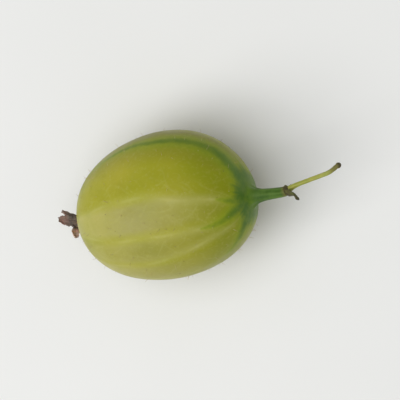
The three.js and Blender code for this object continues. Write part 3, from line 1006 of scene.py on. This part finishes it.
def add_joint_disc(shell):
    distances = JOINT_START - JOINT_SINK + np.linspace(0, JOINT_THICKNESS + 2 * JOINT_SINK, 14)

    def radius_at(distance, angles):
        share = (distance - JOINT_START) / JOINT_THICKNESS
        rounded = JOINT_RADIUS * (1 - JOINT_EDGE_SHARE * (2 * share - 1) ** 2)
        return rounded * (1 + 0.04 * np.cos(6 * angles) + 0.03 * np.cos(11 * angles + 1))

    rings = stalk_rings(distances, radius_at, sides=48)
    shell.add_tube(roughened(rings, size=0.35, seed=8, depth=0.05), along=0.05)


def add_bract(shell, number, angle, length, half_width, lean):
    middle, forward, side, up = stalk_frame(JOINT_START + JOINT_THICKNESS / 2)
    s, across = blade_grid(steps=46, columns=25)
    outward = directions(np.radians(angle), -side, up)
    sideways = np.cross(forward, outward)
    leaning = np.radians(lean * (0.5 + s))
    teeth = 1 + 0.05 * np.sin(23 * s + number) * smoothstep(s, 0.1, 0.4)
    wide = across * blade_width(half_width, s, BRACT_WIDEST_AT, BRACT_TAPER) * teeth
    curl = BRACT_CUP * across**2 * (1 - 0.6 * s)
    wrinkle = 0.07 * np.sin(9 * s + 3 * across + number) * smoothstep(s, 0.05, 0.3)
    out = BRACT_ROOT_RADIUS - curl + s * length * np.sin(leaning) + wrinkle
    on = s * length * np.cos(leaning)
    surface = middle + on[..., None] * forward + out[..., None] * outward + wide[..., None] * sideways
    thickness = BRACT_THICKNESS * (1 - 0.6 * across**2) * (1 - 0.35 * s)
    shell.add_sheet(surface, thickness, along=s)


def make_bracts():
    shell = Shell()
    add_joint_disc(shell)
    for number, bract in enumerate(BRACTS):
        add_bract(shell, number, *bract)
    piece = shell.build("joint_bracts", bract_material(), "dry_bract")
    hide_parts("bracts")


# ---- The withered flower ----

CROWN_MIDDLE = BERRY_MIDDLE + BERRY_AXIS * (share_with_radius(CROWN_RADIUS, -1) * HALF_LENGTH - SEAM)
FLOWER_FORWARD = -BERRY_AXIS
FLOWER_ASIDE = np.array([0.0, -1.0, 0.0])
FLOWER_UP = np.array([-TILT_SIN, 0.0, TILT_COS])


def flower_frame(angle):
    """Outward and sideways directions at an angle round the flower's axis, in degrees."""
    outward = directions(np.radians(angle), FLOWER_ASIDE, FLOWER_UP)
    return outward, np.cross(FLOWER_FORWARD, outward)


def add_flower_tube(shell):
    outline = [  # radius and distance from the berry: up the outside, over the lip, down the cup
        (TUBE_FOOT_RADIUS * 1.12, -0.3),
        (TUBE_FOOT_RADIUS, 0.05),
        (TUBE_FOOT_RADIUS * 0.88, TUBE_LENGTH * 0.11),
        (TUBE_WAIST_RADIUS * 1.06, TUBE_LENGTH * 0.26),
        (TUBE_WAIST_RADIUS, TUBE_LENGTH * 0.44),
        (TUBE_WAIST_RADIUS * 1.1, TUBE_LENGTH * 0.68),
        (TUBE_MOUTH_RADIUS, TUBE_LENGTH - 0.1),
        (TUBE_MOUTH_RADIUS - 0.12, TUBE_LENGTH + 0.02),
        (TUBE_MOUTH_RADIUS - 0.3, TUBE_LENGTH - 0.12),
        (TUBE_WAIST_RADIUS * 0.8, TUBE_LENGTH - 0.7),
        (TUBE_WAIST_RADIUS * 0.5, TUBE_LENGTH - TUBE_CUP_DEPTH),
        (0.1, TUBE_LENGTH - TUBE_CUP_DEPTH - 0.05),
    ]
    steps = np.linspace(0, len(outline) - 1, 90)
    radius, along = (np.interp(steps, range(len(outline)), values) for values in zip(*outline))
    kernel = np.array([1, 2, 3, 2, 1]) / 9
    for values in (radius, along):
        values[2:-2] = np.convolve(values, kernel, "valid")
    angles = round_angles(80)
    grown = np.clip(along / TUBE_LENGTH, 0, 1)[:, None]
    flutes = TUBE_SHRIVEL * np.cos(5 * angles + 0.8) * grown
    ribs = 0.05 * np.cos(15 * angles + 2 * grown) * (0.3 + 0.7 * grown)
    across = directions(angles, FLOWER_ASIDE, FLOWER_UP)
    rings = CROWN_MIDDLE + along[:, None, None] * FLOWER_FORWARD
    rings = rings + (radius[:, None] * (1 + flutes + ribs))[..., None] * across
    crumple = 0.11 * noise_at(rings, 0.75, 2) * smoothstep(grown, 0.08, 0.4)
    rings += across * crumple[..., None]
    shell.add_tube(rings, along=grown * 0.5)


def add_sepal(shell, number, angle, length, half_width, root_lean, tip_lean, twist):
    s, across = blade_grid(steps=56, columns=27)
    outward, sideways = flower_frame(angle)
    root = math.radians(root_lean)
    curl = math.radians(tip_lean - root_lean)
    lean = root + curl * s
    along = TUBE_LENGTH - SEPAL_ROOT_DEPTH + length * (np.sin(lean) - math.sin(root)) / curl
    out = SEPAL_ROOT_RADIUS + length * (math.cos(root) - np.cos(lean)) / curl
    turned = math.radians(twist) * s
    ragged = 1 + 0.08 * np.sin(17 * s + 2 * number) + 0.05 * np.sin(41 * s + number)
    wide = across * blade_width(half_width, s, SEPAL_WIDEST_AT, SEPAL_TAPER) * ragged
    pleats = 0.05 * np.sin(9 * across + 4 * s + number) + 0.09 * np.sin(7 * s + 2 * across + number)
    thick = SEPAL_CUP * across**2 * (1 + 0.8 * s) + pleats * smoothstep(s, 0.1, 0.45)
    over = wide * np.sin(turned) + thick * np.cos(turned)
    beside = wide * np.cos(turned) - thick * np.sin(turned)
    surface = CROWN_MIDDLE + (along - over * np.sin(lean))[..., None] * FLOWER_FORWARD
    surface += (out + over * np.cos(lean))[..., None] * outward
    surface += beside[..., None] * sideways
    thickness = SEPAL_THICKNESS * (1 - 0.6 * across**2) * (1 - 0.45 * s)
    # The rosy face that is painted lighter, as painted light against its shade.
    pale = 0.9 * smoothstep(s, 0.15, 0.5) * (number == LIT_ROSY_SEPAL)
    shell.add_sheet(surface, thickness, along=0.3 + 0.7 * s, pale=pale)


def add_thread(shell, foot, tip, bow, radius, ball, kind):
    """A bent thread that ends in a small ball, as a style or a stamen does."""
    share = np.linspace(0, 1, 22)[:, None]
    spine = foot + (tip - foot) * share + bow * (4 * share * (1 - share))
    forward = unit(np.gradient(spine, axis=0))
    side = unit(np.cross(forward, [0.31, 0.17, 0.94]))
    up = np.cross(forward, side)
    length = np.linalg.norm(tip - foot)
    from_ball = np.clip(1 - ((1 - share) * length / ball - 1) ** 2, 0, None)
    thick = np.maximum(radius * (1.15 - 0.4 * share), ball * np.sqrt(from_ball))
    thick[-1] = radius * 0.3
    across = directions(round_angles(10), side[:, None], up[:, None])
    rings = spine[:, None] + thick[:, None] * across
    rings += 0.03 * noise_at(rings, 0.3, 4)[..., None] * across
    shell.add_tube(rings, along=0.4, kind=kind)


def add_styles_and_stamens(shell):
    floor = CROWN_MIDDLE + FLOWER_FORWARD * (TUBE_LENGTH - TUBE_CUP_DEPTH - 0.1)
    for angle, off, length, lean in STYLES:
        outward, sideways = flower_frame(angle)
        foot = floor + outward * off
        tip = foot + length * directions(np.radians(lean), FLOWER_FORWARD, outward)
        bow = -0.25 * outward + 0.1 * sideways
        add_thread(shell, foot, tip, bow, radius=0.2, ball=0.27, kind=0.6)
    rng = random.Random(SEED + 2)
    for number in range(STAMENS):
        outward, sideways = flower_frame((number + 0.5) * 360 / STAMENS)
        foot = CROWN_MIDDLE + FLOWER_FORWARD * (TUBE_LENGTH - 0.7) + outward * 0.4
        reach = rng.uniform(1.5, 2.3)
        tip = foot + FLOWER_FORWARD * reach + outward * rng.uniform(-0.35, 0.15)
        tip += sideways * rng.uniform(-0.6, 0.6)
        add_thread(shell, foot, tip, 0.1 * outward, radius=0.075, ball=0.19, kind=1.0)


def make_withered_flower():
    shell = Shell()
    add_flower_tube(shell)
    for number, sepal in enumerate(SEPALS):
        add_sepal(shell, number, *sepal)
    add_styles_and_stamens(shell)
    points = np.array(shell.points)
    from_berry = (points - CROWN_MIDDLE) @ FLOWER_FORWARD
    points[:, 1] += from_berry**2 / (2 * FLOWER_BEND_RADIUS)
    shell.points = points.tolist()
    piece = shell.build("dried_flower", flower_material(), "dry_flower")
    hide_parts("withered_flower")


# ---- Floor, light and camera ----

PHOTO_ROLL = math.radians(9.5)  # the berry's axis against the picture's horizontal
VIEW_TIP = math.radians(3)  # the photo looks at the berry a little from beyond its far side
STALK_TIP = math.radians(14)  # and it sees the stalk's end raised by this much more
FRAME_WIDTH = 65.0
LENS = 300.0
SENSOR = 36.0
FLOOR_REACH = 3.0  # metres from the berry to the floor's edges
LIGHTS = [  # name, place and diameter in metres, watts
    ("overhead", (-0.1, -0.04, 0.89), 0.9, 4.7),
    ("key", (-0.35, -0.15, 0.42), 0.3, 0.8),
]
WORLD_COLOUR = (0.98, 0.99, 0.98, 1)
WORLD_STRENGTH = 0.42


def make_floor():
    mesh = bpy.data.meshes.new("floor")
    corners = [(x * FLOOR_REACH, y * FLOOR_REACH, 0) for x, y in ((-1, -1), (1, -1), (1, 1), (-1, 1))]
    mesh.from_pydata(corners, [], [(0, 1, 2, 3)])
    mesh.materials.append(floor_material())
    add_object("floor", mesh)


def make_light(name, place, size, watts):
    """A round lamp that points at the origin."""
    light = bpy.data.lights.new(name, "AREA")
    light.shape = "DISK"
    light.size = size
    light.energy = watts
    lamp = add_object(name, light)
    lamp.location = place
    lamp.rotation_euler = (-Vector(place)).to_track_quat("-Z", "Y").to_euler()


def make_world():
    world = bpy.data.worlds.new("studio")
    world.use_nodes = True
    background = world.node_tree.nodes["Background"]
    background.inputs["Color"].default_value = WORLD_COLOUR
    background.inputs["Strength"].default_value = WORLD_STRENGTH
    bpy.context.scene.world = world


def make_camera():
    """A long lens that looks straight down, turned so that the berry lies as in the photo."""
    camera_data = bpy.data.cameras.new("camera")
    camera_data.lens = LENS
    camera_data.sensor_width = SENSOR
    camera = add_object("camera", camera_data)
    right = Vector((math.cos(PHOTO_ROLL), -math.sin(PHOTO_ROLL), 0))
    up = Vector((math.sin(PHOTO_ROLL), math.cos(PHOTO_ROLL), 0))
    turned = Matrix.Rotation(STALK_TIP, 3, "Y") @ Matrix.Rotation(-VIEW_TIP, 3, right)
    right = turned @ right
    up = turned @ up
    back = right.cross(up)
    low, high = cad_box
    camera.matrix_world = Matrix((right, up, back)).transposed().to_4x4()
    camera.location = (low + high) / 2 + back * (FRAME_WIDTH * MM / SENSOR * LENS)
    bpy.context.scene.camera = camera


bpy.context.scene.view_settings.view_transform = "Standard"
make_camera()
make_world()
make_floor()
for light in LIGHTS:
    make_light(*light)

make_berry()
make_bristles()
make_pedicel()
make_bracts()
make_peduncle()
make_withered_flower()
